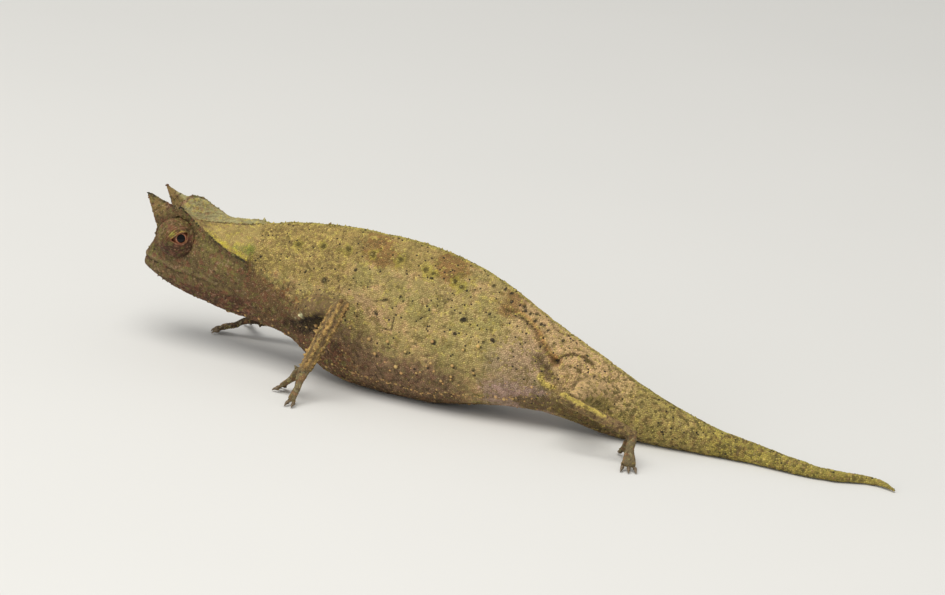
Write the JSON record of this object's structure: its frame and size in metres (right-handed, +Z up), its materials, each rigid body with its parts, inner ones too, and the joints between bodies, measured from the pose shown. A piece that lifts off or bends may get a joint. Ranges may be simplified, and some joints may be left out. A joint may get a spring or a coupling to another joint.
{
  "type": "leaf chameleon model",
  "caption": "Life-size still model of a leaf chameleon lying on its belly with legs spread, head raised, brow horns and a roofed helmet.",
  "frame": {"origin": "on the ground under the middle of the belly, in the middle of the flat it rests on", "axes": "+X from head to tail along the body, -Y towards the animal's left side, +Z up"},
  "size_m": [0.0797, 0.0232, 0.0161],
  "materials": {
    "body_skin": "dry granular scales, matt, ochre tan with dark dots",
    "head_skin": "fine granular scales, matt, brown with a yellow roof",
    "horn_skin": "small rough scales, matt",
    "turret_skin": "fine concentric granular scales, matt",
    "tail_skin": "granular scales, matt, olive yellow",
    "leg_skin": "rough tubercled scales, matt",
    "foot_skin": "small scales, matt, grey green",
    "eye": "wet gloss, black pupil in an orange iris",
    "claw": "dark horn, satin"
  },
  "bodies": {
    "root": {"eye_left": "eye", "eyelid_left": "turret_skin", "eye_right": "eye", "eyelid_right": "turret_skin", "horn_left": "horn_skin", "horn_right": "horn_skin", "lower_jaw": "head_skin", "head": "head_skin", "neck": "body_skin", "chest": "body_skin", "belly": "body_skin", "rump": "body_skin", "tail_base": "tail_skin", "tail_middle": "tail_skin", "tail_end": "tail_skin", "upper_arm_front_left": "leg_skin", "forearm_front_left": "leg_skin", "claw_front_left_inner_1": "claw", "claw_front_left_inner_2": "claw", "claw_front_left_inner_3": "claw", "toes_front_left_inner": "foot_skin", "claw_front_left_outer_1": "claw", "claw_front_left_outer_2": "claw", "toes_front_left_outer": "foot_skin", "upper_arm_front_right": "leg_skin", "forearm_front_right": "leg_skin", "claw_front_right_inner_1": "claw", "claw_front_right_inner_2": "claw", "claw_front_right_inner_3": "claw", "toes_front_right_inner": "foot_skin", "claw_front_right_outer_1": "claw", "claw_front_right_outer_2": "claw", "toes_front_right_outer": "foot_skin", "thigh_hind_left": "leg_skin", "shin_hind_left": "leg_skin", "claw_hind_left_inner_1": "claw", "claw_hind_left_inner_2": "claw", "toes_hind_left_inner": "foot_skin", "claw_hind_left_outer_1": "claw", "claw_hind_left_outer_2": "claw", "claw_hind_left_outer_3": "claw", "toes_hind_left_outer": "foot_skin", "thigh_hind_right": "leg_skin", "shin_hind_right": "leg_skin", "claw_hind_right_inner_1": "claw", "claw_hind_right_inner_2": "claw", "toes_hind_right_inner": "foot_skin", "claw_hind_right_outer_1": "claw", "claw_hind_right_outer_2": "claw", "claw_hind_right_outer_3": "claw", "toes_hind_right_outer": "foot_skin"}
  },
  "joints": []
}
